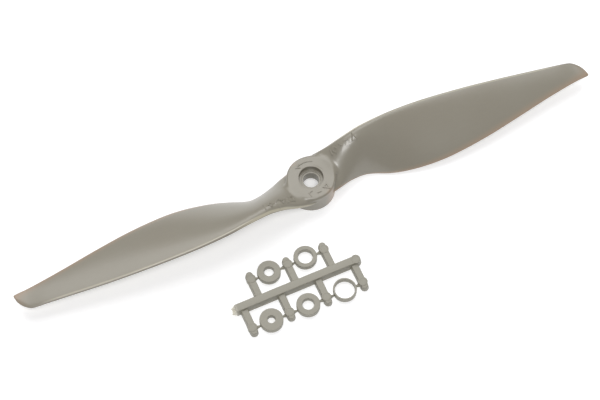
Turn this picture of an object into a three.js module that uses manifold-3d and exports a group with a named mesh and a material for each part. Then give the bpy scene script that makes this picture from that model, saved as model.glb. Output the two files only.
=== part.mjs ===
// Two-blade model aircraft propeller with its tree of five shaft adapter rings.
// Millimetres, +Z up.  The origin is on the shaft axis, at the hub's back face, which is
// also the table top.  The blades lie along X, and the front of the propeller faces +Z.
import * as THREE from 'three'
import { mergeVertices } from 'three/addons/utils/BufferGeometryUtils.js'
import Module from 'manifold-3d'

const wasm = await Module()
wasm.setup()

// ---------------------------------------------------------------- dimensions
const TIP_RADIUS = 127            // ten inch propeller
const HUB_RADIUS = 9.95
const HUB_HEIGHT = 10.3
const HUB_RIM_ROUND = 0.8         // rounding of the front rim
const HUB_BACK_ROUND = 0.3
const SHAFT_BORE_RADIUS = 3.175   // quarter inch shaft
const RING_SEAT_RADIUS = 4.95     // counterbore that takes an adapter ring
const RING_SEAT_DEPTH = 2.2
const RELIEF_RADIUS = 3.95        // shallow step between the seat and the bore
const RELIEF_DEPTH = 0.3
const BACK_POCKET_RADIUS = 5
const BACK_POCKET_DEPTH = 3.3

const RING_PITCH = 15.85
const ROW_OFFSET = 9.6            // each row of rings from the runner's middle
const RUNNER_Y = -37.34
const RUNNER_WIDTH = [4.15, 3.15] // at the table, at the top
const RUNNER_HEIGHT = 3.5
const RUNNER_X = [-49.3, 2.97]    // broken end, centre of the round end
const FINGER_WIDTH = [3.4, 2.7]
const FINGER_HEIGHT = 2.5
const FINGER_PAST_ROW = 1.7       // centre of the round tip, past the row of rings
const PAD_RADIUS = 1.9
const PAD_HEIGHT = 2.65
const GATE_ROOT = [2.6, 1.5]      // gate width and height at the pad
const GATE_NECK = [0.7, 0.7]      // and where it meets the ring
const SNAP_GAP = 0.3

const RING_RADIUS = 4.716
const RING_HEIGHT = 2.56
const RING_EDGE = 0.15
const NEAR_RINGS_X = -22.37       // middle ring of the near row
const FAR_RINGS_X = -22.95        // middle of the far row of two
const NEAR_FINGERS_X = 1.35       // last finger of each row, then every 15.875 mm
const FAR_FINGERS_X = -6.85
const FINGER_PITCH = 15.875

// Blade stations: distance from the axis, leading edge y and z, trailing edge y and z,
// thickness.  The pitch is six inches, so the chord flattens out towards the tip.
const BLADE = [
  [-3, 9.0, 6.4, -8.6, 5.6, 2.4],
  [4, 10.25, 7.5, -8.2, 5.4, 3.2],
  [10, 10.15, 9.8, -6.75, 5.0, 4.7],
  [16, 9.95, 13.5, -4.9, 3.65, 5.6],
  [22, 10.2, 15.85, -3.9, 1.8, 5.6],
  [26, 10.7, 16.4, -4.35, 0.8, 5.2],
  [33, 11.5, 16.25, -7.3, 0.9, 4.5],
  [40, 12.2, 15.5, -9.35, 1.5, 4.0],
  [50, 12.55, 14.55, -10.9, 2.5, 3.5],
  [60, 12.35, 13.6, -11.2, 3.5, 3.1],
  [75, 11.5, 12.1, -9.9, 4.6, 2.7],
  [90, 10.2, 10.45, -7.5, 5.45, 2.2],
  [105, 8.5, 9.0, -4.75, 6.05, 1.8],
  [116, 7.2, 7.9, -3.0, 6.3, 1.5],
  [122, 6.35, 7.1, -2.25, 6.4, 1.2],
  [124, 5.0, 6.9, -2.15, 6.4, 1.1],
  [125.4, 3.4, 6.7, -2.05, 6.35, 1.0],
  [126.5, 1.3, 6.5, -1.95, 6.3, 0.8],
  [TIP_RADIUS, -0.9, 6.3, -1.7, 6.25, 0.5],
]
const SECTION_POINTS = 15         // along each face of a section
const BACK_SHARE = 0.22           // share of the thickness behind the chord
const NOSE_FRONT = 0.3            // shares added to both faces at the leading edge, which
const NOSE_BACK = 0.6             // make the nose blunt
const NOSE_LENGTH = 0.05          // share of the chord that the blunt nose takes
const EDGE_THICKNESS = 0.35       // trailing edge

// ------------------------------------------------------------------- helpers
const grey = (name, colour) => {
  const m = new THREE.MeshStandardMaterial({ color: colour, roughness: 0.5, metalness: 0 })
  m.name = name
  return m
}
const BLADE_NYLON = grey('glass_filled_nylon_grey', 0xa09d92)
const RING_NYLON = grey('ring_nylon_grey', 0xa19e94)

function toManifold(geometry) {
  const g = geometry.clone()
  g.deleteAttribute('normal')
  g.deleteAttribute('uv')
  const m = mergeVertices(g, 1e-5)
  return new wasm.Manifold(new wasm.Mesh({
    numProp: 3,
    vertProperties: new Float32Array(m.attributes.position.array),
    triVerts: new Uint32Array(m.index.array),
  }))
}

function toMesh(manifold, name, material) {
  const out = manifold.getMesh()
  const g = new THREE.BufferGeometry()
  g.setAttribute('position', new THREE.BufferAttribute(out.vertProperties, 3))
  g.setIndex(new THREE.BufferAttribute(out.triVerts, 1))
  const mesh = new THREE.Mesh(g.toNonIndexed(), material)
  mesh.geometry.computeVertexNormals()
  mesh.name = name
  return mesh
}

// A solid of revolution about Z from a profile of [radius, height].
function turned(profile, segments) {
  const points = profile.map(([r, z]) => new THREE.Vector2(r, z))
  const g = new THREE.LatheGeometry(points, segments)
  g.rotateX(Math.PI / 2)
  return toManifold(g)
}

// Closed loops of equal length joined into a tube, with a flat fan at each end.
function lofted(loops) {
  const n = loops[0].length
  const flat = loops.flat()
  const position = flat.flatMap((p) => [p.x, p.y, p.z])
  const index = []
  for (let k = 0; k + 1 < loops.length; k++) {
    for (let i = 0; i < n; i++) {
      const a = k * n + i
      const b = k * n + ((i + 1) % n)
      index.push(a, b, b + n, a, b + n, a + n)
    }
  }
  const last = (loops.length - 1) * n
  for (let i = 1; i + 1 < n; i++) {
    index.push(0, i + 1, i, last, last + i, last + i + 1)
  }
  const g = new THREE.BufferGeometry()
  g.setAttribute('position', new THREE.Float32BufferAttribute(position, 3))
  g.setIndex(index)
  const solid = toManifold(g)
  if (solid.volume() > 0) return solid
  for (let i = 0; i < index.length; i += 3) [index[i], index[i + 1]] = [index[i + 1], index[i]]
  g.setIndex(index)
  return toManifold(g)
}

// A bar with drafted sides, rounded at one or both ends, lying on the table.
// `along` turns the bar: 0 along X, 90 along Y.
function draftedBar(from, to, [foot, top], height, roundFrom, roundTo, along, place) {
  const outline = (half, z) => {
    const points = []
    const ends = [[to, -90, roundTo], [from, 90, roundFrom]]
    for (const [centre, start, round] of ends) {
      const steps = 10
      for (let i = 0; i <= steps; i++) {
        const a = THREE.MathUtils.degToRad(start + (180 * i) / steps)
        const reach = round ? half * Math.cos(a) : 0
        points.push(new THREE.Vector3(centre + reach, half * Math.sin(a), z))
      }
    }
    return points
  }
  const turn = THREE.MathUtils.degToRad(along)
  const loops = [outline(foot / 2, 0), outline(top / 2, height)]
  for (const p of loops.flat()) {
    p.applyAxisAngle(new THREE.Vector3(0, 0, 1), turn)
    p.x += place[0]
    p.y += place[1]
  }
  return lofted(loops)
}

// Catmull-Rom through one column of the blade table, uneven spacing allowed.
function station(x, column) {
  let i = BLADE.findIndex((row) => row[0] >= x)
  i = Math.max(1, i)
  const at = (k) => BLADE[Math.min(BLADE.length - 1, Math.max(0, k))]
  const [p0, p1, p2, p3] = [at(i - 2), at(i - 1), at(i), at(i + 1)]
  const h = p2[0] - p1[0]
  const slope = (a, b) => (b[0] === a[0] ? 0 : (b[column] - a[column]) / (b[0] - a[0]))
  const m1 = slope(p0, p2)
  const m2 = slope(p1, p3)
  const t = (x - p1[0]) / h
  return p1[column] * (1 + 2 * t) * (1 - t) ** 2 + m1 * h * t * (1 - t) ** 2
    + p2[column] * t * t * (3 - 2 * t) + m2 * h * t * t * (t - 1)
}

// ------------------------------------------------------------------- propeller
// One aerofoil section: blunt nose, arched front face, nearly flat back face.
function section(x) {
  const [leY, leZ, teY, teZ, thick] = [1, 2, 3, 4, 5].map((c) => station(x, c))
  const chord = Math.hypot(leY - teY, leZ - teZ)
  const along = [(teY - leY) / chord, (teZ - leZ) / chord]
  const out = [-along[1] * -1, along[0] * -1]
  const shape = (s) => 1.9 * Math.sqrt(s) * (1 - s) ** 0.75 * (1 - 0.18 * s)
  const edge = Math.min(EDGE_THICKNESS, chord * 0.3) / 2
  const front = []
  const back = []
  for (let i = 0; i <= SECTION_POINTS; i++) {
    const s = 0.5 - 0.5 * Math.cos((Math.PI * i) / SECTION_POINTS)
    const nose = Math.exp(-s / NOSE_LENGTH)
    const rise = thick * (1 - BACK_SHARE + NOSE_FRONT * nose) * shape(s) + edge * s
    const fall = thick * (BACK_SHARE + NOSE_BACK * nose) * shape(s) + edge * s
    const y = leY + along[0] * chord * s
    const z = leZ + along[1] * chord * s
    front.push(new THREE.Vector3(x, y + out[0] * rise, z + out[1] * rise))
    if (i > 0) back.push(new THREE.Vector3(x, y - out[0] * fall, z - out[1] * fall))
  }
  return front.concat(back.reverse())
}

function blade() {
  const places = []
  for (let i = 0; i + 1 < BLADE.length; i++) {
    const [a, b] = [BLADE[i][0], BLADE[i + 1][0]]
    const steps = b - a > 8 ? 3 : 2
    for (let k = 0; k < steps; k++) places.push(a + ((b - a) * k) / steps)
  }
  places.push(TIP_RADIUS)
  return lofted(places.map(section))
}

function rounded(centre, radius, from, to, steps) {
  const points = []
  for (let i = 0; i <= steps; i++) {
    const a = THREE.MathUtils.degToRad(from + ((to - from) * i) / steps)
    points.push([centre[0] + radius * Math.cos(a), centre[1] + radius * Math.sin(a)])
  }
  return points
}

const hubBlank = turned([
  [0, 0],
  ...rounded([HUB_RADIUS - HUB_BACK_ROUND, HUB_BACK_ROUND], HUB_BACK_ROUND, -90, 0, 2),
  ...rounded([HUB_RADIUS - HUB_RIM_ROUND, HUB_HEIGHT - HUB_RIM_ROUND], HUB_RIM_ROUND, 0, 90, 4),
  [0, HUB_HEIGHT],
], 96)

const seatZ = HUB_HEIGHT - RING_SEAT_DEPTH
const CLEAR = 5                   // how far the boring tool runs past each face
const boringTool = turned([
  [0, -CLEAR],
  [BACK_POCKET_RADIUS, -CLEAR],
  [BACK_POCKET_RADIUS, BACK_POCKET_DEPTH],
  [SHAFT_BORE_RADIUS, BACK_POCKET_DEPTH],
  [SHAFT_BORE_RADIUS, seatZ - RELIEF_DEPTH],
  [RELIEF_RADIUS, seatZ - RELIEF_DEPTH],
  [RELIEF_RADIUS, seatZ],
  [RING_SEAT_RADIUS, seatZ],
  [RING_SEAT_RADIUS, HUB_HEIGHT + CLEAR],
  [0, HUB_HEIGHT + CLEAR],
], 72)

const oneBlade = blade()
const propeller = hubBlank.add(oneBlade).add(oneBlade.rotate([0, 0, 180])).subtract(boringTool)

// ------------------------------------------------------------------- ring tree
const nearRow = RUNNER_Y - ROW_OFFSET
const farRow = RUNNER_Y + ROW_OFFSET
const rings = [
  ['adapter_ring_3mm', NEAR_RINGS_X - RING_PITCH, nearRow, 1.6],
  ['adapter_ring_5mm', NEAR_RINGS_X, nearRow, 2.4],
  ['adapter_ring_8mm', NEAR_RINGS_X + RING_PITCH, nearRow, 4.07],
  ['adapter_ring_4mm', FAR_RINGS_X - RING_PITCH / 2, farRow, 2.03],
  ['adapter_ring_6mm', FAR_RINGS_X + RING_PITCH / 2, farRow, 3.03],
]

function disc(x, y, radius, height) {
  return turned([[0, 0], [radius, 0], [radius, height], [0, height]], 40).translate([x, y, 0])
}

// A gate tapers from a pad at `fromX` to the ring's outside at `toX`.
function gate(fromX, toX, y) {
  const loop = (x, [w, h]) => [[-w / 2, 0], [w / 2, 0], [w / 2, h], [-w / 2, h]]
    .map(([dy, z]) => new THREE.Vector3(x, y + dy, z))
  return lofted([loop(fromX, GATE_ROOT), loop(toX, GATE_NECK)])
}

let tree = draftedBar(RUNNER_X[0], RUNNER_X[1], RUNNER_WIDTH, RUNNER_HEIGHT, false, true, 0,
  [0, RUNNER_Y])
const stump = (x, y, w, h) => [[-w / 2, 0], [w / 2, 0], [w / 2, h], [-w / 2, h]]
  .map(([dy, z]) => new THREE.Vector3(x, y + dy, z))
for (const [reach, y, w, h] of [[1.5, 0.85, 1.5, 2.4], [2, -1.05, 1.6, 2]]) {
  tree = tree.add(lofted([
    stump(RUNNER_X[0] + 1, RUNNER_Y + y * 0.8, w, h + 0.8),
    stump(RUNNER_X[0] - reach, RUNNER_Y + y, w * 0.6, h * 0.6),
  ]))
}

const rows = [[nearRow, -1, NEAR_FINGERS_X, 4], [farRow, 1, FAR_FINGERS_X, 3]]
for (const [rowY, side, lastX, count] of rows) {
  for (let i = 0; i < count; i++) {
    const x = lastX - FINGER_PITCH * i
    const reach = ROW_OFFSET + FINGER_PAST_ROW
    tree = tree
      .add(draftedBar(0, reach, FINGER_WIDTH, FINGER_HEIGHT, false, true, 90 * side, [x, RUNNER_Y]))
      .add(disc(x, rowY, PAD_RADIUS, PAD_HEIGHT))
    for (const [, ringX, ringY] of rings) {
      const gap = ringX - x
      if (ringY !== rowY || Math.abs(gap) > FINGER_PITCH * 0.7) continue
      const way = Math.sign(gap)
      tree = tree.add(gate(x + way * 0.8, ringX - way * (RING_RADIUS + SNAP_GAP), rowY))
    }
  }
}

// ------------------------------------------------------------------- rings
function ring(x, y, bore) {
  const e = RING_EDGE
  return turned([
    [bore, 0], [RING_RADIUS - e, 0], [RING_RADIUS, e],
    [RING_RADIUS, RING_HEIGHT - e], [RING_RADIUS - e, RING_HEIGHT],
    [bore, RING_HEIGHT], [bore, 0],
  ], 64).translate([x, y, 0])
}

const group = new THREE.Group()
group.name = 'propeller_with_adapter_rings'
group.add(toMesh(propeller, 'propeller', BLADE_NYLON))
group.add(toMesh(tree, 'ring_tree', RING_NYLON))
for (const [name, x, y, bore] of rings) group.add(toMesh(ring(x, y, bore), name, RING_NYLON))

export default group
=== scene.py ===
# %% [markdown]
# # A moulded two-blade propeller with its tree of shaft adapter rings
# The real object is two injection mouldings in glass-filled nylon.  One is the propeller: a
# round hub and two twisted blades with no seam between them.  The other is a small
# moulding tree: a straight runner with seven fingers that hold five rings by thin gates.  A
# builder snaps off the ring that suits the motor shaft and drops it into the hub's ring seat.
# Nearly all of the look is in clean curved surfaces, soft moulded edges and a satin grey skin,
# so every piece here is a surface worked out from its own formula.

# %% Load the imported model
import math
import bmesh
import bpy
import numpy as np
from mathutils import Matrix, Vector


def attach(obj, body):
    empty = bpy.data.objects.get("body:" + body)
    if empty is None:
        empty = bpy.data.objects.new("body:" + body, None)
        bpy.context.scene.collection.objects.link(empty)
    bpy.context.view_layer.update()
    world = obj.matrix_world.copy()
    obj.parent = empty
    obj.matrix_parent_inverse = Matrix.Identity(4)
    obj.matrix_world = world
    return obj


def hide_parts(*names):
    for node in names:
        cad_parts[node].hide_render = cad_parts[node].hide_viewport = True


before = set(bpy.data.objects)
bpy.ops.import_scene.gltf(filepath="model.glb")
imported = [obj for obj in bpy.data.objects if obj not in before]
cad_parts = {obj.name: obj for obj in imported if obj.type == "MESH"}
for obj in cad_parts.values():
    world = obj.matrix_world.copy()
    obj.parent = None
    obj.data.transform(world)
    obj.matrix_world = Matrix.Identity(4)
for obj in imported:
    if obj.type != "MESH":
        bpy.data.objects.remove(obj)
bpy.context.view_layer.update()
MM = 0.001

# %% [markdown]
# ## From numbers to a closed skin
# Each shape starts as a closed skin: a grid of points in which each row is a closed loop, and
# the loops follow each other along the shape.  The ends are closed as suits the shape.  Working
# with whole arrays is fast, and it keeps the formula of the shape easy to read.

# %% Closed skins
def loop_skin(grid, ends="flat"):
    """A closed skin from grid[row, column, xyz] in mm.  Quad (r, c) joins loop r to loop r + 1.
    ends is "flat" (one face across each end), "strip" (each end is filled by quads between
    column i and column -1 - i, its mirror), "zip" (the same for loops whose columns 0 and half
    are the two tips) or "ring" (the last loop joins the first)."""
    rows, columns = grid.shape[:2]
    r = np.arange(rows if ends == "ring" else rows - 1)[:, None]
    c = np.arange(columns)[None, :]
    nr, nc = (r + 1) % rows, (c + 1) % columns
    quads = np.stack(np.broadcast_arrays(
        r * columns + c, r * columns + nc, nr * columns + nc, nr * columns + c), -1)
    faces = [quads.reshape(-1, 4)]
    last, half = (rows - 1) * columns, columns // 2
    if ends == "flat":
        loop = np.arange(columns)[None, :]
        faces += [loop[:, ::-1], loop + last]
    if ends == "strip":
        i = np.arange(half - 1)
        cap = np.stack([i, columns - 1 - i, columns - 2 - i, i + 1], -1)
        faces += [cap, cap[:, ::-1] + last]
    if ends == "zip":
        i = np.arange(1, half - 1)
        cap = np.stack([i, columns - i, columns - i - 1, i + 1], -1)
        tips = np.array([[0, columns - 1, 1], [half, half - 1, half + 1]])
        faces += [cap, tips, cap[:, ::-1] + last, tips[:, ::-1] + last]
    return outward(grid.reshape(-1, 3), faces)


def outward(points, faces):
    """Turns every face over if the skin's signed volume (the sum of the boxes spanned by each
    triangle's corners) is negative, so that faces point out of the plastic."""
    volume = 0.0
    for block in faces:
        for k in range(1, block.shape[1] - 1):
            a, b, c = (points[block[:, i]] for i in (0, k, k + 1))
            volume += np.einsum("ij,ij->i", a, np.cross(b, c)).sum() / 6
    return points, faces if volume > 0 else [block[:, ::-1] for block in faces]


def half_turn(points):
    """The same shape on the other side of the shaft: (-x, -y, z)."""
    return points * [-1, -1, 1]


def turned_over(skin):
    """A skin carried half a turn round the shaft."""
    points, faces = skin
    return half_turn(points), faces


# %% [markdown]
# ## From skins to one solid
# A moulding is one lump of plastic, so the skins that make it are joined into one solid, with
# nothing left inside.  The Boolean modifier does this, and its Manifold solver is both exact and
# quick on closed skins.  The points come back as an array, so that a later step can still move
# them, and the mesh is only finished at the end.

# %% Joining skins and finishing a mesh
def skin_mesh(name, points, faces):
    """A mesh in metres from points in mm and blocks of equal-sided faces."""
    corners = np.concatenate([block.ravel() for block in faces]).astype(np.int32)
    sizes = np.concatenate([np.full(len(b), b.shape[1], np.int32) for b in faces])
    starts = np.concatenate([[0], np.cumsum(sizes)[:-1]]).astype(np.int32)
    mesh = bpy.data.meshes.new(name)
    mesh.vertices.add(len(points))
    mesh.vertices.foreach_set("co", points.ravel() * MM)
    mesh.loops.add(len(corners))
    mesh.loops.foreach_set("vertex_index", corners)
    mesh.polygons.add(len(sizes))
    mesh.polygons.foreach_set("loop_start", starts)
    mesh.update(calc_edges=True)
    mesh.validate()
    return mesh


def joined(name, base, skins):
    """One mesh that is the union of a base mesh and closed skins."""
    others = bpy.data.collections.new(name + "_skins")
    meshes = [base] + [skin_mesh(name, *skin) for skin in skins]
    parts = [bpy.data.objects.new(name, mesh) for mesh in meshes]
    bpy.context.scene.collection.children.link(others)
    bpy.context.scene.collection.objects.link(parts[0])
    for part in parts[1:]:
        others.objects.link(part)
    union = parts[0].modifiers.new("union", "BOOLEAN")
    union.operation, union.solver = "UNION", "MANIFOLD"
    union.operand_type, union.collection = "COLLECTION", others
    graph = bpy.context.evaluated_depsgraph_get()
    mesh = bpy.data.meshes.new_from_object(parts[0].evaluated_get(graph))
    for part in parts:
        old = part.data
        bpy.data.objects.remove(part)
        bpy.data.meshes.remove(old)
    bpy.data.collections.remove(others)
    return mesh


def points_of(mesh):
    """The mesh's points in mm as an array."""
    flat = np.empty(len(mesh.vertices) * 3)
    mesh.vertices.foreach_get("co", flat)
    return flat.reshape(-1, 3) / MM


def make_piece(name, mesh, crease_angle=35, weld=0.008):
    """A piece from a mesh: points closer than weld (mm) are merged, and it is shaded smooth
    except across edges sharper than crease_angle (degrees)."""
    work = bmesh.new()
    work.from_mesh(mesh)
    bmesh.ops.remove_doubles(work, verts=work.verts, dist=weld * MM)
    bmesh.ops.dissolve_degenerate(work, edges=work.edges, dist=weld * MM / 4)
    open_edges = sum(not edge.is_manifold for edge in work.edges)
    work.to_mesh(mesh)
    work.free()
    mesh.name = name
    mesh.materials.clear()
    mesh.polygons.foreach_set("use_smooth", np.ones(len(mesh.polygons), bool))
    mesh.set_sharp_from_angle(angle=math.radians(crease_angle))
    piece = bpy.data.objects.new(name, mesh)
    bpy.context.scene.collection.objects.link(piece)
    triangles = sum(len(face.vertices) - 2 for face in mesh.polygons)
    print(f"{name}: {triangles} triangles, {open_edges} open edges")
    return piece


# %% [markdown]
# ## Turned shapes with eased edges
# The hub, the round pads and the rings are bodies of revolution.  A tool for them needs only
# the corner points of the profile and how far each corner is eased.  Moulded nylon never has a
# knife edge: even a crisp corner is rounded by a tenth or two of a millimetre, and that small
# round is what catches a thin line of light.

# %% Profiles and bodies of revolution
def eased(corners, spacing=0.5):
    """A closed profile through corners (radius, height, ease).  Each corner becomes an arc that
    is tangent to both sides, and long sides are divided so that no step exceeds spacing."""
    corners = np.array(corners, float)
    points = []
    for before, (r, z, ease), after in zip(
            np.roll(corners, 1, 0), corners, np.roll(corners, -1, 0)):
        here = np.array([r, z])
        to_a, to_b = before[:2] - here, after[:2] - here
        to_a, to_b = to_a / np.linalg.norm(to_a), to_b / np.linalg.norm(to_b)
        half = math.acos(np.clip(to_a @ to_b, -1, 1)) / 2
        if ease == 0:
            points.append(here[None])
            continue
        middle = here + (to_a + to_b) / np.linalg.norm(to_a + to_b) * ease / math.sin(half)
        start, end = here + to_a * ease / math.tan(half), here + to_b * ease / math.tan(half)
        turn = np.linspace(0, 1, 6)[:, None]
        arc = (start - middle) * (1 - turn) + (end - middle) * turn
        points.append(middle + arc / np.linalg.norm(arc, axis=1)[:, None] * ease)
    points = np.concatenate(points)
    out = []
    for a, b in zip(points, np.roll(points, -1, 0)):
        steps = max(1, int(np.ceil(np.linalg.norm(b - a) / spacing)))
        out.append(a + (b - a) * np.arange(steps)[:, None] / steps)
    return np.concatenate(out)


def turned(profile, around=192, centre=(0, 0)):
    """Carries a closed profile round the Z axis: (radius cos a, radius sin a, height)."""
    a = np.linspace(0, 2 * np.pi, around, endpoint=False)
    r, z = profile[:, 0], profile[:, 1]
    grid = np.stack([centre[0] + np.outer(np.cos(a), r), centre[1] + np.outer(np.sin(a), r),
                     np.broadcast_to(z, (around, len(z)))], -1)
    return loop_skin(grid, ends="ring")


# %% [markdown]
# ## The hub
# From the front the hub is a disc 20 mm across with a softly rounded rim.  In its middle is the
# ring seat, a counterbore as deep as an adapter ring, then a very shallow step, then the bore for
# a quarter inch shaft.  Behind, a wider pocket lightens the hub and clears the shoulder of a
# motor adapter.  It is one closed profile carried round the shaft axis.

# %% The hub's profile
HUB_RADIUS, HUB_HEIGHT, HUB_RIM = 9.95, 10.3, 0.8
BORE_RADIUS, SEAT_RADIUS, SEAT_DEPTH = 3.175, 4.95, 2.2
STEP_RADIUS, STEP_DEPTH = 3.95, 0.3
POCKET_RADIUS, POCKET_DEPTH = 5.0, 3.3
EDGE = 0.15

seat_floor = HUB_HEIGHT - SEAT_DEPTH
hub_profile = eased([
    (POCKET_RADIUS, 0, EDGE), (HUB_RADIUS, 0, 0.3),
    (HUB_RADIUS, HUB_HEIGHT, HUB_RIM), (SEAT_RADIUS, HUB_HEIGHT, 0.2),
    (SEAT_RADIUS, seat_floor, 0.12), (STEP_RADIUS, seat_floor, 0.12),
    (STEP_RADIUS, seat_floor - STEP_DEPTH, 0.1), (BORE_RADIUS, seat_floor - STEP_DEPTH, EDGE),
    (BORE_RADIUS, POCKET_DEPTH, EDGE), (POCKET_RADIUS, POCKET_DEPTH, EDGE),
], spacing=0.35)
hub_skin = turned(hub_profile, around=256)
print("hub profile points:", len(hub_profile))

# %% [markdown]
# ## The blades
# A propeller blade is a wing that screws through the air.  Each station along it has its own
# leading edge, trailing edge and thickness, and the twist follows from the two edges: steep at
# the root and nearly flat at the tip.  The table gives the stations, a smooth curve runs through
# each column, and one aerofoil formula turns a station into a closed section.  The front face
# is arched and the back face nearly flat, as on a real blade.

# %% Blade stations and the aerofoil
# distance from the axis, leading edge y and z, trailing edge y and z, thickness (mm)
STATIONS = np.array([
    [-3, 9.0, 6.4, -8.6, 5.6, 2.4], [4, 10.25, 7.5, -8.2, 5.4, 3.2],
    [10, 10.15, 9.8, -6.75, 5.0, 4.7], [16, 9.95, 13.5, -4.9, 3.65, 5.6],
    [22, 10.2, 15.85, -3.9, 1.8, 5.6], [26, 10.7, 16.4, -4.35, 0.8, 5.2],
    [33, 11.5, 16.25, -7.3, 0.9, 4.5], [40, 12.2, 15.5, -9.35, 1.5, 4.0],
    [50, 12.55, 14.55, -10.9, 2.5, 3.5], [60, 12.35, 13.6, -11.2, 3.5, 3.1],
    [75, 11.5, 12.1, -9.9, 4.6, 2.7], [90, 10.2, 10.45, -7.5, 5.45, 2.2],
    [105, 8.5, 9.0, -4.75, 6.05, 1.8], [116, 7.2, 7.9, -3.0, 6.3, 1.5],
    [122, 6.35, 7.1, -2.25, 6.4, 1.2], [124, 5.0, 6.9, -2.15, 6.4, 1.1],
    [125.4, 3.4, 6.7, -2.05, 6.35, 1.0], [126.5, 1.3, 6.5, -1.95, 6.3, 0.8],
    [127, -0.9, 6.3, -1.7, 6.25, 0.5]])
BACK_SHARE = 0.22                  # the share of the thickness that lies behind the chord
NOSE_FRONT, NOSE_BACK = 0.3, 0.6   # shares added at the leading edge, for a blunt nose
NOSE_LENGTH = 0.05                 # how much of the chord the blunt nose takes
TRAILING_EDGE = 0.35               # its thickness in mm
TIP = STATIONS[-1, 0]


def at_station(x):
    """Every column of the table at distances x: a cubic between neighbours whose slope at each
    station is the slope from the station before it to the one after it."""
    table, known = STATIONS[:, 1:], STATIONS[:, 0]
    slope = np.empty_like(table)
    slope[1:-1] = (table[2:] - table[:-2]) / (known[2:] - known[:-2])[:, None]
    slope[0] = (table[1] - table[0]) / (known[1] - known[0])
    slope[-1] = (table[-1] - table[-2]) / (known[-1] - known[-2])
    i = np.clip(np.searchsorted(known, x, side="right") - 1, 0, len(known) - 2)
    step = (known[i + 1] - known[i])[..., None]
    t = (np.clip(x, known[0], known[-1])[..., None] - known[i][..., None]) / step
    return (table[i] * (1 + 2 * t) * (1 - t) ** 2 + slope[i] * step * t * (1 - t) ** 2
            + table[i + 1] * t * t * (3 - 2 * t) + slope[i + 1] * step * t * t * (t - 1))


def body_height(thick, share):
    """Whole height of the section at a share of the chord, a round nose and a fine tail:
    thickness * 1.9 * sqrt(share) * (1 - share)^0.75 * (1 - 0.18 share)."""
    return thick * 1.9 * np.sqrt(share) * (1 - share) ** 0.75 * (1 - 0.18 * share)


def aerofoil(x, share, front):
    """Points of the blade's skin at distance x, at a share of the chord from the leading edge,
    on the front face (front = 1) or the back (front = 0).  BACK_SHARE of the body's height lies
    behind the chord and the rest in front, and each face adds half the trailing edge's own
    thickness, which ends in a half round.  Near the leading edge both
    faces get a further share, which falls off as exp(-share / NOSE_LENGTH)."""
    le_y, le_z, te_y, te_z, thick = np.moveaxis(at_station(x), -1, 0)
    chord = np.hypot(te_y - le_y, te_z - le_z)
    along_y, along_z = (te_y - le_y) / chord, (te_z - le_z) / chord
    body = body_height(thick, share)
    edge = np.minimum(TRAILING_EDGE, chord * 0.3) / 2
    into_round = np.clip((share - 1 + edge / chord) / (edge / chord), 0, 1)
    tail = edge * np.sqrt(share) * np.sqrt(1 - into_round ** 2)
    nose = np.exp(-share / NOSE_LENGTH)
    rise = np.where(front, body * (1 - BACK_SHARE + NOSE_FRONT * nose) + tail,
                    -body * (BACK_SHARE + NOSE_BACK * nose) - tail)
    return np.stack([x, le_y + along_y * chord * share + along_z * rise,
                     le_z + along_z * chord * share - along_y * rise], -1)


middle = at_station(np.array(55.0))
print("chord at mid blade:", round(float(np.hypot(*(middle[:2] - middle[2:4]))), 1), "mm")

# %% [markdown]
# ## From sections to one blade
# The columns of the blade's grid run from inside the hub's solid wall, clear of the shaft bore,
# out to the tip, so that nothing shows in the bore.  Rows lie close together at the root and the
# tip, where the shape changes fast, and further apart along the plain middle.

# %% The blade's grid
FACE_COLUMNS = 44       # columns on each face of a blade
ROOT_CIRCLE = 7.4       # where the blade ends, inside the hub's wall
ROOT_FADE = 20.0        # distance from the axis by which the rows are straight


def blade_rows():
    """Distances from the axis, in steps of 0.4 mm by the hub, 1.3 mm in the middle and 0.13 mm
    round the tip."""
    return np.concatenate([np.arange(0, 22, 0.4), np.arange(22, 34, 0.7),
                           np.arange(34, 120, 1.3), np.arange(120, TIP - 2, 0.5),
                           np.linspace(TIP - 2, TIP, 16)])


def blade_grid():
    """Shares follow (1 - cos) so that both edges are finely divided.  A column that would cross
    the bore starts on a circle of ROOT_CIRCLE round the axis, and a column wider than that
    circle starts that much further back.  The shift fades out by ROOT_FADE."""
    half = (1 - np.cos(np.linspace(0, np.pi, FACE_COLUMNS + 1))) / 2
    share = np.concatenate([half, half[-2:0:-1]])
    front = np.concatenate([np.ones(FACE_COLUMNS + 1), np.zeros(FACE_COLUMNS - 1)]) > 0
    y = aerofoil(np.full(share.shape, 5.0), share, front)[:, 1]
    start = np.where(np.abs(y) < ROOT_CIRCLE,
                     np.sqrt(np.maximum(ROOT_CIRCLE ** 2 - y ** 2, 0)), 0)
    start = np.where(y > ROOT_CIRCLE, -(y - ROOT_CIRCLE), start)
    rows = blade_rows()[:, None]
    x = rows + start[None, :] * np.clip(1 - rows / ROOT_FADE, 0, 1)
    return aerofoil(x, np.broadcast_to(share, x.shape), np.broadcast_to(front, x.shape))


blade_points = blade_grid()
print("blade grid:", blade_points.shape)

# %% [markdown]
# ## Blending the blades into the hub
# In the mould the front of a blade flows into the hub through a fillet, while the back meets it
# in a crisp inner corner.  Bevelling the long uneven edge where they meet is hard to control.
# Here the shapes are described by distances instead: how far a point is outside the hub, and
# how far it is outside a blade.  A soft minimum of the two describes the blended shape, and each
# point of the joined solid near that edge slides along the slope until its soft distance is 0.

# %% Distances
FILLET_FRONT, FILLET_BACK = 2.6, 0.25   # reach of the blend, in mm
FILLET_FROM, FILLET_TO = 7.9, 9.3       # heights between which it grows
OUTLINE_SIDES = 32                      # sides of a blade section's outline
NO_BLADE = 99.0                         # distance given where no blade is near


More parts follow.
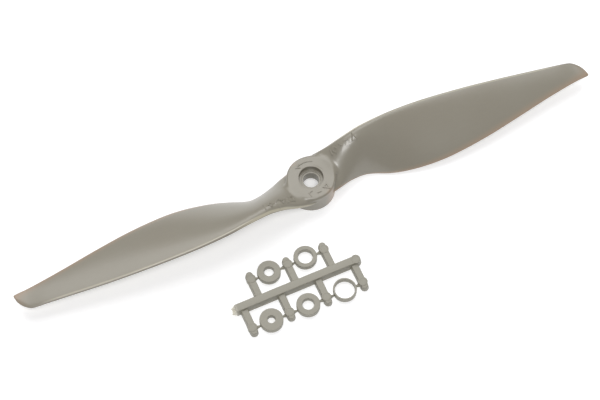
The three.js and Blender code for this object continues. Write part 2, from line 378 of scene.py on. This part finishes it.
def hub_distance(p):
    """Distance outside a cylinder with a rounded rim, without its bore."""
    r, z = np.hypot(p[:, 0], p[:, 1]), p[:, 2]
    q = np.stack([r - (HUB_RADIUS - HUB_RIM), z - (HUB_HEIGHT - HUB_RIM)], -1)
    return np.linalg.norm(np.maximum(q, 0), axis=1) + np.minimum(q.max(1), 0) - HUB_RIM


def blade_distance(p):
    """Distance outside the blade's section at the same x: the least distance to the sides of
    its outline, made negative where a line to the right crosses them an odd number of times."""
    share = (1 - np.cos(np.linspace(0, np.pi, OUTLINE_SIDES // 2 + 1))) / 2
    share = np.concatenate([share, share[-2:0:-1]])
    front = np.arange(OUTLINE_SIDES) <= OUTLINE_SIDES // 2
    x = np.maximum(p[:, 0], STATIONS[0, 0])
    shape = (len(p), OUTLINE_SIDES)
    outline = aerofoil(np.repeat(x[:, None], OUTLINE_SIDES, 1), np.broadcast_to(share, shape),
                       np.broadcast_to(front, shape))[..., 1:]
    following = np.roll(outline, -1, axis=1)
    side, reach = following - outline, p[:, None, 1:] - outline
    t = np.clip((side * reach).sum(-1) / (side ** 2).sum(-1), 0, 1)
    least = np.linalg.norm(reach - side * t[..., None], axis=-1).min(1)
    low, high, z = outline[..., 1], following[..., 1], p[:, None, 2]
    crosses = (low > z) != (high > z)
    rise = np.where(crosses, high - low, 1)
    at_y = outline[..., 0] + side[..., 0] * (z - low) / rise
    inside = (crosses & (p[:, None, 1] < at_y)).sum(1) % 2 == 1
    flat = np.where(inside, -least, least)
    return np.where(p[:, 0] < x, np.hypot(np.maximum(flat, 0), x - p[:, 0]), flat)


def both_blades_distance(p):
    """The lesser distance to the two blades; each is worked out only on its own side."""
    out = np.full(len(p), NO_BLADE)
    for way, own in ((1, p[:, 0] > -4), (-1, p[:, 0] < 4)):
        points = p[own] if way == 1 else half_turn(p[own])
        out[own] = np.minimum(out[own], blade_distance(points))
    return out


# %% The soft join
def fillet_at(p):
    """The blend's reach: FILLET_BACK low down, FILLET_FRONT high up, with a smooth step."""
    t = np.clip((p[:, 2] - FILLET_FROM) / (FILLET_TO - FILLET_FROM), 0, 1)
    return FILLET_BACK + (FILLET_FRONT - FILLET_BACK) * t * t * (3 - 2 * t)


def soft_distance(p):
    """The smaller distance, lowered by up to a quarter of the reach k where the two are equal:
    a h + b (1 - h) - k h (1 - h), with h = 1/2 + (b - a) / (2 k) kept in 0 to 1."""
    a, b, k = hub_distance(p), both_blades_distance(p), fillet_at(p)
    h = np.clip(0.5 + 0.5 * (b - a) / k, 0, 1)
    return a * h + b * (1 - h) - k * h * (1 - h)


def settled(points, steps=5):
    """Slides the points near both the hub's outer skin and a blade's along the slope of the
    soft distance until it is zero."""
    r = np.hypot(points[:, 0], points[:, 1])
    chosen = (r > SEAT_RADIUS + 0.6) & (r < HUB_RADIUS + 3) & (points[:, 2] > 0.4)
    near = points[chosen]
    reach = fillet_at(near)
    chosen[chosen] = ((np.abs(hub_distance(near)) < reach)
                      & (np.abs(both_blades_distance(near)) < reach))
    p, tiny = points[chosen], 0.01
    for _ in range(steps):
        slope = np.stack([soft_distance(p + d) - soft_distance(p - d)
                          for d in np.eye(3) * tiny], -1) / (2 * tiny)
        size = np.maximum((slope ** 2).sum(1), 0.25)
        p = p - slope * np.clip(soft_distance(p) / size, -0.4, 0.4)[:, None]
    out = points.copy()
    out[chosen] = p
    print("points settled on the blend:", int(chosen.sum()))
    return out


# %% [markdown]
# ## Raised marks
# The mould leaves low raised marks on the hub's face and along each blade root.  These are
# plain signs of our own: an arrow, and rows of diamonds, squares, bars, chevrons and
# triangles.  A mark is an outline in mm carried up in layers, and a placing function lays it on
# the face.  It starts below the surface, and its top edge is drawn in a little, so it looks
# moulded and not stuck on.

# %% Marks
MARK_LIFT, MARK_SINK, MARK_EASE, STROKE = 0.3, 0.35, 0.08, 0.5   # mm
MARK_CIRCLE = 7.35      # the marks on the hub stand on this circle


def stroke_skin(path, place, closed=False):
    """A raised line along a path of (x, y) points in mm.  Its section is a low bar STROKE wide
    whose top edges are eased; at a corner the two sides meet on the line that halves it."""
    path = np.array(path, float)
    ahead, behind = np.roll(path, -1, 0) - path, path - np.roll(path, 1, 0)
    if not closed:
        ahead[-1], behind[0] = behind[-1], ahead[0]
    ahead /= np.linalg.norm(ahead, axis=1)[:, None]
    behind /= np.linalg.norm(behind, axis=1)[:, None]
    middle = ahead + behind
    middle /= (middle * ahead).sum(1)[:, None]
    side = middle[:, ::-1] * [-1, 1]
    w, e = STROKE / 2, MARK_EASE
    section = [(-w, -MARK_SINK), (-w, MARK_LIFT - e), (e - w, MARK_LIFT),
               (w - e, MARK_LIFT), (w, MARK_LIFT - e), (w, -MARK_SINK)]
    grid = np.stack([place(path + side * across, height) for across, height in section], 1)
    return loop_skin(grid, ends="ring" if closed else "flat")


def polygon(corners, radius, stretch=1.0, start=90):
    """The corners of a regular polygon, stretched along y."""
    a = np.radians(start + 360 / corners * np.arange(corners))
    return np.stack([radius * np.cos(a), radius * stretch * np.sin(a)], -1)


DIAMOND = (polygon(4, 0.95, 1.4), True)
SQUARE = (polygon(4, 1.2, 1.15, 45), True)
TRIANGLE = (polygon(3, 1.2, 1.2), True)
BAR = ([(0, -1.3), (0, 1.3)], False)
CHEVRON = ([(-0.6, -1.3), (0.6, 0), (-0.6, 1.3)], False)
DASH = ([(-0.85, 0), (0.85, 0)], False)


def on_hub(angle):
    """Places an outline on the hub's face, its y axis pointing away from the shaft."""
    a = math.radians(angle)

    def place(outline, height):
        u, v = outline[:, 0], MARK_CIRCLE + outline[:, 1]
        x, y = v * math.cos(a) + u * math.sin(a), v * math.sin(a) - u * math.cos(a)
        return np.stack([x, y, np.full(len(u), HUB_HEIGHT + height)], -1)
    return place


def on_blade(x, share):
    """Places an outline on a blade's front: its x axis runs along the blade and its y axis
    towards the leading edge.  Heights go along the surface's normal, which is the cross
    product of the two directions."""
    le_y, le_z, te_y, te_z, _ = at_station(np.array(x))
    chord = np.hypot(te_y - le_y, te_z - le_z)

    def place(outline, height):
        at_x, at_share = x + outline[:, 0], share - outline[:, 1] / chord
        here = aerofoil(at_x, at_share, True)
        along = aerofoil(at_x + 0.05, at_share, True) - here
        back = aerofoil(at_x, at_share + 0.004, True) - here
        out = np.cross(back, along)
        return here + out / np.linalg.norm(out, axis=1)[:, None] * height
    return place


# %% The propeller
arc = np.radians(np.linspace(62, 118, 24))
arrow = MARK_CIRCLE * np.stack([np.cos(arc), np.sin(arc)], -1)
head = arrow[-1] + np.array([[1.15, 1.35], [-0.35, -0.25], [1.35, -0.75]])


def flat_on_hub(points, height):
    """Places points that are already measured from the shaft on the hub's face."""
    return np.column_stack([points, np.full(len(points), HUB_HEIGHT + height)])


marks = [stroke_skin(arrow, flat_on_hub), stroke_skin(head, flat_on_hub)]
for angle, (path, closed) in ((-116, CHEVRON), (-87, DASH), (-57, TRIANGLE)):
    marks.append(stroke_skin(path, on_hub(angle), closed))
ONE_ROOT = [(11.7, BAR), (13.4, DIAMOND), (16.0, CHEVRON), (18.9, SQUARE), (21.9, TRIANGLE)]
for x, (path, closed) in ONE_ROOT:
    marks.append(stroke_skin(path, on_blade(x, 0.18 - 0.0065 * (x - 11.7)), closed))
OTHER_ROOT = [(11.4, 0.17, SQUARE), (13.7, 0.13, BAR), (15.8, 0.1, TRIANGLE),
              (18.3, 0.08, CHEVRON), (21.0, 0.08, DIAMOND), (23.6, 0.09, BAR)]
for x, share, (path, closed) in OTHER_ROOT:
    marks.append(turned_over(stroke_skin(path, on_blade(x, share), closed)))

blade_skin = loop_skin(blade_points, ends="zip")
moulding = joined("moulding", skin_mesh("hub", *hub_skin), [blade_skin, turned_over(blade_skin)])
moulding.vertices.foreach_set("co", settled(points_of(moulding)).ravel() * MM)
propeller = make_piece("propeller_moulding", joined("marked_moulding", moulding, marks), 38)

# %% [markdown]
# ## Where the skin looks different: a painted highlight and painted warmth
# Two things change along a blade's edges.  Along the leading edge a pale line is painted into the
# colour: a painted highlight where the rounded nose catches the light.  By the hub the line runs
# on the nose itself and further out it moves in a little.  Where the nylon is thinner than a
# millimetre, at the trailing edge and the tip, light passes through and warms the grey, and that
# warmth is painted into the colour.  Both are worked out from the blade's own shape and stored on
# the points as attributes.

# %% Attributes for the painted highlight line and the thin edges
# the painted highlight along the leading edge: how far its line lies from the edge and how wide it
# is, where it has moved in, and how much of the nose is painted pale by the hub
HIGHLIGHT_AT, HIGHLIGHT_WIDTH = 0.85, 0.34   # mm from the leading edge, over the front face
HIGHLIGHT_SETTLED = 42.0                 # distance from the axis where the line has moved in
HIGHLIGHT_NOSE = 0.5                      # mm round the leading edge that is pale near the root
THIN_FROM, THIN_TO = 1.15, 0.45      # thicknesses between which light comes through, in mm
# distances from the axis between which each effect comes in or fades out
HUB_CLEAR, TIP_FADE, NOSE_FADE, TIP_THIN = (2, 6), (111, 119), (30, 40), (121, 128)


def store(piece, name, values):
    """Writes one number for each point of the piece's mesh."""
    layer = piece.data.attributes.new(name, "FLOAT", "POINT")
    layer.data.foreach_set("value", np.ascontiguousarray(values, np.float32))


def ramp(x, ends):
    """0 before the first end, 1 after the second, and a straight slope between."""
    return np.clip((x - ends[0]) / (ends[1] - ends[0]), 0, 1)


def blade_edges(points):
    """How much painted highlight and how much thinness each point shows, from 0 to 1.  The painted
    highlight line is 1 - |d - a| / w at distance d from the leading edge, where w is its width and
    its place a grows in proportion to the distance from the axis until that reaches the settled
    distance; the painted highlight on the nose by the root is 1 - (d - n) / w, n being how much of
    the nose it covers.  A point's share of the chord is its distance from the leading edge along
    the chord, and the body there gives its thinness."""
    own = np.where(points[:, :1] < 0, half_turn(points), points)
    x = own[:, 0]
    le_y, le_z, te_y, te_z, thick = np.moveaxis(at_station(x), -1, 0)
    chord = np.hypot(te_y - le_y, te_z - le_z)
    to_y, to_z = own[:, 1] - le_y, own[:, 2] - le_z
    away = np.hypot(to_y, to_z)
    share = np.clip((to_y * (te_y - le_y) + to_z * (te_z - le_z)) / chord ** 2, 0, 1)
    in_front = to_z * (le_y - te_y) - to_y * (le_z - te_z) > 0
    line_at = HIGHLIGHT_AT * np.clip(x / HIGHLIGHT_SETTLED, 0.1, 1)
    line = np.clip(1 - np.abs(away - line_at) / HIGHLIGHT_WIDTH, 0, 1) * in_front
    nose = np.clip(1 - (away - HIGHLIGHT_NOSE) / HIGHLIGHT_WIDTH, 0, 1) * (1 - ramp(x, NOSE_FADE))
    painted_nose_highlight = np.maximum(line, nose) * ramp(x, HUB_CLEAR) * (1 - ramp(x, TIP_FADE))
    body = body_height(thick, share)
    thin = np.clip((THIN_FROM - body - TRAILING_EDGE) / (THIN_FROM - THIN_TO), 0, 1)
    thin = thin * (share > 0.4) + ramp(x, TIP_THIN) ** 2
    return painted_nose_highlight, np.minimum(thin * ramp(x, HUB_CLEAR), 1)


# the painted highlight along the leading edge, and the warmth painted on thin edges
painted_nose_highlight, thin = blade_edges(points_of(propeller.data))
store(propeller, "painted_nose_highlight", painted_nose_highlight)
store(propeller, "thin", thin)
print("points with flash:", int((painted_nose_highlight > 0).sum()), "thin:", int((thin > 0).sum()))

# %% [markdown]
# ## The runner and its fingers
# Plastic reaches the rings through a runner cut into one half of the mould, so its sides lean
# in by a few degrees and its underside is flat.  A bar like that is an oblong outline carried
# up in layers: wide at the table, narrower at the top, with eased edges.

# %% Drafted bars
RUNNER_Y, ROW = -37.34, 9.6
RUNNER = dict(foot=4.15, top=3.15, height=3.5)
FINGER = dict(foot=3.4, top=2.7, height=2.5)
BAR_FOOT = 0.02


def bar_layers(foot, top, height, ease=0.3, low_ease=0.12):
    """Half widths and heights going up a drafted bar: a small round at the foot, a leaning
    side, then a quarter round into the flat top."""
    a = np.linspace(0, np.pi / 2, 6)
    lean = (foot - top) / 2
    low_z, high_z = low_ease * (1 - np.cos(a)), height - ease + ease * np.sin(a)
    wide = foot / 2 - low_ease + low_ease * np.sin(a)
    narrow = top / 2 + lean * ease / height - ease + ease * np.cos(a)
    side = np.linspace(wide[-1], narrow[0], 7)[1:-1]
    side_z = np.linspace(low_z[-1], high_z[0], 7)[1:-1]
    return np.concatenate([wide, side, narrow]), np.concatenate([low_z, side_z, high_z])


def bar_outline(half, length, points=24):
    """An oblong of half width half: a half round at each end of a line of that length."""
    a = np.linspace(-np.pi / 2, np.pi / 2, points)
    right = np.stack([length + half * np.cos(a), half * np.sin(a)], -1)
    left = np.stack([-half * np.cos(a), -half * np.sin(a)], -1)
    return np.concatenate([right, left])


def drafted_bar(length, start, angle, foot, top, height):
    """A round-ended bar from start along angle (degrees), its foot held BAR_FOOT clear of the
    table so that it never shares a face with the runner's foot."""
    halves, heights = bar_layers(foot, top, height)
    heights = np.maximum(heights, BAR_FOOT)
    flat = np.stack([bar_outline(h, length) for h in halves])
    c, s = math.cos(math.radians(angle)), math.sin(math.radians(angle))
    x = start[0] + flat[..., 0] * c - flat[..., 1] * s
    y = start[1] + flat[..., 0] * s + flat[..., 1] * c
    return loop_skin(np.stack([x, y, heights[:, None] + 0 * x], -1))


# %% [markdown]
# ## The broken end of the runner
# Where the tree was snapped from the main sprue the nylon tore: two short prongs stand out
# with a hollow between them, and stress has turned the torn plastic pale.  The runner is
# therefore carried from right to left as cross-sections, and the last of them is pushed out
# by a bumpy function of its place in the section.

# %% The runner
RUNNER_BREAK, RUNNER_ROUND = -49.3, 2.97   # x of the break and of the round end's centre
# each prong's reach, then its place and spread across, then its place and spread in height
PRONGS = [(1.55, 0.95, 0.62, 1.5, 1.1), (1.95, -1.15, 0.7, 1.2, 0.95)]
GRAIN_SIZES, GRAIN_DEPTH = (0.9, 0.55, 0.35), 0.09
TORN_SEED = 7


def torn_reach(y, z):
    """How far the fracture stands out at a place in the section, in mm: a hill of
    reach * exp(-((y - y0) / spread)^2 - ((z - z0) / spread)^2) for each prong, which leaves a
    hollow between them, and a fine grain of fixed waves."""
    prongs = sum(reach * np.exp(-((y - at_y) / wide) ** 2 - ((z - at_z) / tall) ** 2)
                 for reach, at_y, wide, at_z, tall in PRONGS)
    rng = np.random.default_rng(TORN_SEED)
    grain = np.zeros_like(y)
    for size in GRAIN_SIZES:
        ky, kz, phase = rng.normal(size=3) * 2 * np.pi / size
        grain += GRAIN_DEPTH * size * np.sin(ky * y + kz * z + phase)
    return np.maximum(prongs + grain, -0.2)


def runner_skin():
    """Loops of the drafted section: a round right end, where a loop at angle t has its points
    at (half width * sin t) along and (half width * cos t) across; the straight bar; and at the
    break the section shrunk loop by loop towards its middle and pushed out by torn_reach."""
    halves, heights = bar_layers(**RUNNER)
    loop_y = np.concatenate([halves, -halves[::-1]])
    loop_z = np.concatenate([heights, heights[::-1]])
    t = np.linspace(np.pi / 2 - 0.04, 0, 14)[:, None]
    round_x = RUNNER_ROUND + np.abs(loop_y) * np.sin(t)
    round_end = np.stack([round_x, loop_y * np.cos(t), loop_z + 0 * t], -1)
    x = np.linspace(RUNNER_ROUND, RUNNER_BREAK, 60)[1:, None]
    straight = np.stack([x + 0 * loop_y, loop_y + 0 * x, loop_z + 0 * x], -1)
    shrink = np.linspace(1, 0.03, 26)[1:, None]
    middle = RUNNER["height"] / 2
    y, z = loop_y * shrink, middle + (loop_z - middle) * shrink
    torn = np.stack([RUNNER_BREAK - torn_reach(y, z) * (1 - shrink ** 12), y, z], -1)
    grid = np.concatenate([round_end, straight, torn])
    return loop_skin(grid + [0, RUNNER_Y, 0], ends="strip")


print("runner:", round(RUNNER_ROUND - RUNNER_BREAK, 2), "mm from its round end to the break")

# %% [markdown]
# ## Fingers, pads and gates
# Each finger crosses the line of its rings and ends in a half round just past it.  On that
# line sits a round pad, where a pin pushed the tree out of the mould, and from the pad a gate
# tapers down to a thin neck that holds the ring.  The gates lie low, at the parting face.

# %% Fingers, pads and gates
RING_RADIUS, RING_HEIGHT, RING_PITCH = 4.716, 2.56, 15.85
near_row, far_row = RUNNER_Y - ROW, RUNNER_Y + ROW
RINGS = {
    "3mm": (-22.37 - RING_PITCH, near_row, 1.6), "5mm": (-22.37, near_row, 2.4),
    "8mm": (-22.37 + RING_PITCH, near_row, 4.07),
    "4mm": (-22.95 - RING_PITCH / 2, far_row, 2.03),
    "6mm": (-22.95 + RING_PITCH / 2, far_row, 3.03)}
FINGER_PITCH, TIP_PAST_ROW = 15.875, 1.7
FINGERS = ([(1.35 - FINGER_PITCH * i, near_row, -1) for i in range(4)]
           + [(-6.85 - FINGER_PITCH * i, far_row, 1) for i in range(3)])


PAD_RADIUS, PAD_TOP, PAD_FOOT = 1.9, 2.66, 0.03
DISH_RADIUS, DISH_DEPTH = 1.42, 0.07
GATE_AT_PAD, GATE_AT_RING, GATE_FOOT = (2.6, 1.5), (0.7, 0.7), 0.04   # (width, height)


def pad_skin(x, y, top=PAD_TOP):
    """A round pin mark 3.8 mm across: a short drum whose top has a shallow dish in it."""
    a = np.linspace(0, 2 * np.pi, 48, endpoint=False)[None, :]
    dish = top - DISH_DEPTH
    rise = np.array([[PAD_RADIUS, PAD_FOOT], [PAD_RADIUS, top - 0.12],
                     [PAD_RADIUS - 0.04, top - 0.03], [PAD_RADIUS - 0.12, top],
                     [DISH_RADIUS, top], [DISH_RADIUS - 0.08, dish], [0.4, dish]])
    r, z = rise[:, :1], rise[:, 1:]
    return loop_skin(np.stack([x + r * np.cos(a), y + r * np.sin(a), z + 0 * a], -1))


def gate_skin(from_x, to_x, y):
    """A tapering gate: a rounded half-oval section that shrinks from GATE_AT_PAD to
    GATE_AT_RING as 1 - (1 - t)^1.6, where t runs from 0 at the pad to 1 at the ring."""
    t = np.linspace(0, 1, 14)[:, None]
    ease = 1 - (1 - t) ** 1.6
    width, height = (pad + (neck - pad) * ease for pad, neck in zip(GATE_AT_PAD, GATE_AT_RING))
    a = np.linspace(0, np.pi, 24)[None, :]
    across = width / 2 * np.sign(np.cos(a)) * np.abs(np.cos(a)) ** 0.6
    up = GATE_FOOT + height * np.abs(np.sin(a)) ** 0.6
    return loop_skin(np.stack([from_x + (to_x - from_x) * t + 0 * a, y + across, up], -1))


tree_skins = [pad_skin(RUNNER_ROUND - 0.35, RUNNER_Y, RUNNER["height"] + 0.08)]
for x, row, side in FINGERS:
    tree_skins.append(drafted_bar(ROW + TIP_PAST_ROW, (x, RUNNER_Y), 90 * side, **FINGER))
    tree_skins.append(pad_skin(x, row))
    for ring_x, ring_row, _ in RINGS.values():
        if ring_row == row and abs(ring_x - x) < FINGER_PITCH * 0.7:
            way = math.copysign(1, ring_x - x)
            tree_skins.append(gate_skin(x + way * 0.8, ring_x - way * (RING_RADIUS - 0.02), row))
tree_mesh = joined("tree", skin_mesh("runner", *runner_skin()), tree_skins)
ring_tree = make_piece("moulding_tree", tree_mesh)
past_break = RUNNER_BREAK + 0.15 - points_of(ring_tree.data)[:, 0]
store(ring_tree, "torn", np.clip(past_break / 0.5, 0, 1))

# %% [markdown]
# ## The five adapter rings
# The rings share one outside, made to drop into the hub's ring seat, and differ only in their
# bore: for 3, 4, 5, 6 and 8 mm shafts.  Each is a plain rectangle with eased corners carried
# round its own axis.

# %% Rings
rings = {}
for size, (x, y, bore) in RINGS.items():
    wall = min(0.2, (RING_RADIUS - bore) / 4)
    profile = eased([(bore, 0, wall * 0.6), (RING_RADIUS, 0, wall),
                     (RING_RADIUS, RING_HEIGHT, wall), (bore, RING_HEIGHT, wall * 0.8)], 0.6)
    skin = turned(profile, 160, (x, y))
    rings[size] = make_piece(f"ring_for_{size}_shaft", skin_mesh(size, *skin))
print("ring bores in mm:", {size: round(2 * bore, 2) for size, (_, _, bore) in RINGS.items()})

# %% [markdown]
# ## Materials: satin glass-filled nylon
# The plastic is nylon filled with short glass fibre, moulded against a lightly polished tool.
# It gives a warm grey with a soft satin sheen, a faint cloudiness where fibre and dye flowed
# unevenly, and a very fine texture.  Where a blade thins to its edge some light comes through,
# which turns the grey a little browner.

# %% Colour and node helpers
def linear(hex_colour):
    """sRGB hex to linear RGBA by the sRGB curve."""
    srgb = np.array([int(hex_colour[i:i + 2], 16) for i in (1, 3, 5)]) / 255
    rgb = np.where(srgb <= 0.04045, srgb / 12.92, ((srgb + 0.055) / 1.055) ** 2.4)
    return (*rgb.tolist(), 1.0)


def add(tree, kind, settings=None, inputs=None, links=None):
    """Adds a node, sets its settings and input values, and links inputs from other outputs."""
    node = tree.nodes.new(kind)
    for key, value in (settings or {}).items():
        setattr(node, key, value)
    for key, value in (inputs or {}).items():
        node.inputs[key].default_value = value
    for key, output in (links or {}).items():
        tree.links.new(output, node.inputs[key])
    return node


print("nylon grey, linear:", [round(v, 3) for v in linear("#908c7f")])

# %% Satin nylon
def attribute_mix(tree, name, below, colour):
    """Blends a colour over the one below by how strong the named attribute is."""
    amount = add(tree, "ShaderNodeAttribute", {"attribute_name": name}).outputs["Fac"]
    mix = add(tree, "ShaderNodeMix", {"data_type": "RGBA"}, {"B": linear(colour)},
              {"Factor": amount, "A": below})
    return mix.outputs[2]


def satin_nylon(name, light, dark, roughness, edges):
    """Glass-filled nylon, moulded in a lightly polished tool, so it is satin and not glossy.
    Its grey is cloudy over about 25 mm where the dye flowed unevenly, and it carries faint
    streaks of glass fibre.  Fibres are 0.01 mm thick, so they are drawn 1 mm apart to show.
    The tool's polish leaves gloss a little uneven over 8 mm.  Its reflection is set
    a little above bare nylon's, so that the crest of the blade root shows a streak.  edges
    lists (attribute, colour) pairs that are blended on top."""
    material = bpy.data.materials.new(name)
    material.use_nodes = True
    tree = material.node_tree
    tree.nodes.clear()
    place = add(tree, "ShaderNodeTexCoord").outputs["Object"]
    cloud = add(tree, "ShaderNodeTexNoise", None, {"Scale": 40.0, "Detail": 4.0}, {"Vector": place})
    colour = add(tree, "ShaderNodeMix", {"data_type": "RGBA"},
                 {"A": linear(light), "B": linear(dark)},
                 {"Factor": cloud.outputs["Fac"]}).outputs[2]
    along = add(tree, "ShaderNodeMapping", None, {"Scale": (0.35, 1.0, 1.0)}, {"Vector": place})
    fibre = add(tree, "ShaderNodeTexNoise", None, {"Scale": 1000.0, "Detail": 3.0},
                {"Vector": along.outputs["Vector"]})
    streak = add(tree, "ShaderNodeMapRange", None,
                 {"From Min": 0.3, "From Max": 0.7, "To Min": 0.99, "To Max": 1.01},
                 {"Value": fibre.outputs["Fac"]})
    grey = add(tree, "ShaderNodeMix", {"data_type": "RGBA", "blend_type": "MULTIPLY"},
               {"Factor": 1.0}, {"A": colour, "B": streak.outputs["Result"]}).outputs[2]
    for attribute, edge_colour in edges:
        grey = attribute_mix(tree, attribute, grey, edge_colour)
    polish = add(tree, "ShaderNodeTexNoise", None, {"Scale": 125.0, "Detail": 2.0},
                 {"Vector": place})
    gloss = add(tree, "ShaderNodeMapRange", None,
                {"From Min": 0.3, "From Max": 0.7, "To Min": roughness - 0.012,
                 "To Max": roughness + 0.012}, {"Value": polish.outputs["Fac"]})
    bump = add(tree, "ShaderNodeBump", None, {"Strength": 0.05, "Distance": 0.0002},
               {"Height": fibre.outputs["Fac"]})
    skin = add(tree, "ShaderNodeBsdfPrincipled", None,
               {"IOR": 1.53, "Specular IOR Level": 0.64},
               {"Base Color": grey, "Roughness": gloss.outputs["Result"],
                "Normal": bump.outputs["Normal"]})
    add(tree, "ShaderNodeOutputMaterial", None, None, {"Surface": skin.outputs["BSDF"]})
    return material


# the propeller has a sharper sheen than the tree, as from a better polished tool
# in the blade's material the pale colour of the last pair is a painted highlight along the leading
# edge
blade_nylon = satin_nylon("glass_filled_nylon_satin", "#908c7f", "#8d8779", 0.29,
                          [("thin", "#a3907c"), ("painted_nose_highlight", "#bdb7a2")])
ring_nylon = satin_nylon("glass_filled_nylon_matt", "#949082", "#8f8c7e", 0.45,
                         [("torn", "#dcd8c8")])

# %% Dress the pieces and tie them to the frame
propeller.data.materials.append(blade_nylon)
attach(propeller, "propeller")
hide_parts("propeller")
ring_tree.data.materials.append(ring_nylon)
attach(ring_tree, "ring_tree")
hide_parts("ring_tree")
for size, ring in rings.items():
    ring.data.materials.append(ring_nylon)
    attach(ring, f"ring_{size}")
    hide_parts(f"adapter_ring_{size}")
print("pieces dressed:", 2 + len(rings))

# %% [markdown]
# ## Table, light and camera
# The object lies on a plain white table under soft studio light.  The table is opal acrylic
# that glows a little from below, which keeps it white and its shadows pale.  A broad light
# above and behind throws soft shadows forwards.  A smaller oblong light above the viewer is
# what the crest of the blade root mirrors as a bright streak.
# A long lens looks steeply down, a little from the left.

# %% The table
TABLE_HALF = 3.0   # metres
table_mesh = bpy.data.meshes.new("table")
table_mesh.from_pydata([(-TABLE_HALF, -TABLE_HALF, 0), (TABLE_HALF, -TABLE_HALF, 0),
                        (TABLE_HALF, TABLE_HALF, 0), (-TABLE_HALF, TABLE_HALF, 0)], [],
                       [(0, 1, 2, 3)])
table = bpy.data.objects.new("table", table_mesh)
bpy.context.scene.collection.objects.link(table)
# a sheet sanded matt, so it has no mirror image, only a faint fine grain
white_table = bpy.data.materials.new("opal_acrylic_lit_from_below")
white_table.use_nodes = True
tree = white_table.node_tree
tree.nodes.clear()
place = add(tree, "ShaderNodeTexCoord").outputs["Object"]
grain = add(tree, "ShaderNodeTexNoise", None, {"Scale": 900.0}, {"Vector": place})
tone = add(tree, "ShaderNodeMix", {"data_type": "RGBA"},
           {"A": linear("#ebebea"), "B": linear("#e7e7e8")}, {"Factor": grain.outputs["Fac"]})
sheet = add(tree, "ShaderNodeBsdfPrincipled", None,
            {"Roughness": 0.9, "Emission Strength": 0.44},
            {"Base Color": tone.outputs[2], "Emission Color": tone.outputs[2]})
add(tree, "ShaderNodeOutputMaterial", None, None, {"Surface": sheet.outputs["BSDF"]})
table.data.materials.append(white_table)

# %% Lights
def soft_light(name, place, size, watts):
    """A white oblong area light at place that faces the hub; size is (wide, tall) in metres."""
    data = bpy.data.lights.new(name, "AREA")
    data.shape, data.energy = "RECTANGLE", watts
    data.size, data.size_y = size
    light = bpy.data.objects.new(name, data)
    light.location = place
    light.rotation_euler = Vector(place).to_track_quat("Z", "Y").to_euler()
    bpy.context.scene.collection.objects.link(light)


soft_light("softbox_above_and_behind", (0.2, 0.65, 1.0), (1.2, 1.2), 10.8)
soft_light("strip_above_the_viewer", (-0.16, -0.42, 1.0), (0.5, 0.3), 5.6)
sky = bpy.data.worlds.new("studio_air")
sky.use_nodes = True
air = sky.node_tree.nodes["Background"]
air.inputs["Color"].default_value = linear("#f0eff8")
air.inputs["Strength"].default_value = 0.2
bpy.context.scene.world = sky
bpy.context.scene.view_settings.view_transform = "Standard"

# %% Camera
AZIMUTH, ELEVATION, ROLL = (math.radians(a) for a in (-24.622, 63.487, 0.459))
DISTANCE, ASIDE, BELOW = 662.1 * MM, 4.415 * MM, 4.543 * MM
SENSOR_WIDTH, FOCAL_LENGTH = 36, 97.19   # mm
back = np.array([math.sin(AZIMUTH) * math.cos(ELEVATION),
                 -math.cos(AZIMUTH) * math.cos(ELEVATION), math.sin(ELEVATION)])
level = np.array([math.cos(AZIMUTH), math.sin(AZIMUTH), 0])
over = np.cross(back, level)
right = math.cos(ROLL) * level + math.sin(ROLL) * over
up = math.cos(ROLL) * over - math.sin(ROLL) * level
lens = bpy.data.cameras.new("camera")
lens.sensor_width, lens.lens = SENSOR_WIDTH, FOCAL_LENGTH
lens.clip_start, lens.clip_end = 0.05, 20
camera = bpy.data.objects.new("camera", lens)
place = back * DISTANCE - right * ASIDE - up * BELOW
view = np.eye(4)
view[:3, 0], view[:3, 1], view[:3, 2], view[:3, 3] = right, up, back, place
camera.matrix_world = Matrix(view.tolist())
bpy.context.scene.collection.objects.link(camera)
bpy.context.scene.camera = camera
print("camera at", place.round(3))
